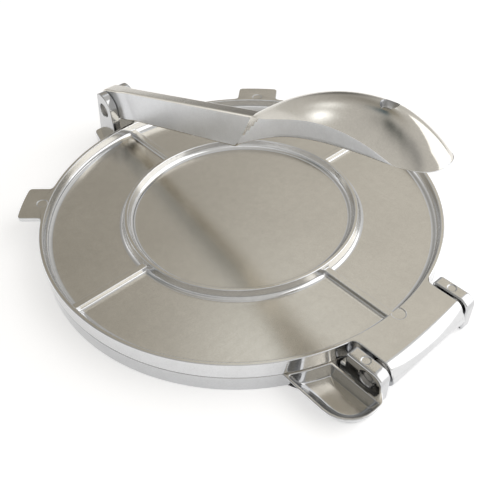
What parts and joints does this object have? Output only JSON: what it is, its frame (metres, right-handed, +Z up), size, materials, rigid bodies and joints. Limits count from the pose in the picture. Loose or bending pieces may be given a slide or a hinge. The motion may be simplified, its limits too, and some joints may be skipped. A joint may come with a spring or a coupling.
{
  "type": "tortilla press",
  "caption": "Hinged kitchen press: a hollow round base, a ribbed round top plate that opens like a book, and a long lever with a scoop handle.",
  "frame": {"origin": "on the table, on the axis of the round plates, midway between the lug's end and the lobe's end", "axes": "+X from the plates' centre to the hinge, -X to the lever's clevis, +Z up from the table"},
  "size_m": [0.2424, 0.2, 0.1088],
  "materials": {
    "base_casting": "polished casting",
    "plate_casting": "satin floor, polished walls",
    "lever_casting": "polished casting",
    "pin_steel": "turned steel"
  },
  "bodies": {
    "base": {"base_plate": "base_casting", "hinge_pin": "pin_steel", "lever_pin": "pin_steel"},
    "plate": {"top_plate": "plate_casting"},
    "lever": {"lever": "lever_casting"}
  },
  "joints": [
    {"name": "plate_hinge", "type": "hinge", "parent": "base", "child": "plate", "pos_m": [0.1104, 0, 0.0109], "axis": [0, 1, 0], "range_deg": [0, 13.5]},
    {"name": "lever_pivot", "type": "hinge", "parent": "base", "child": "lever", "pos_m": [-0.1109, 0, 0.0251], "axis": [0, -1, 0], "range_deg": [-20.5, 162]}
  ],
  "couplings": [
    {"joint": "lever_pivot", "follows": "plate_hinge", "ratio": 12}
  ]
}
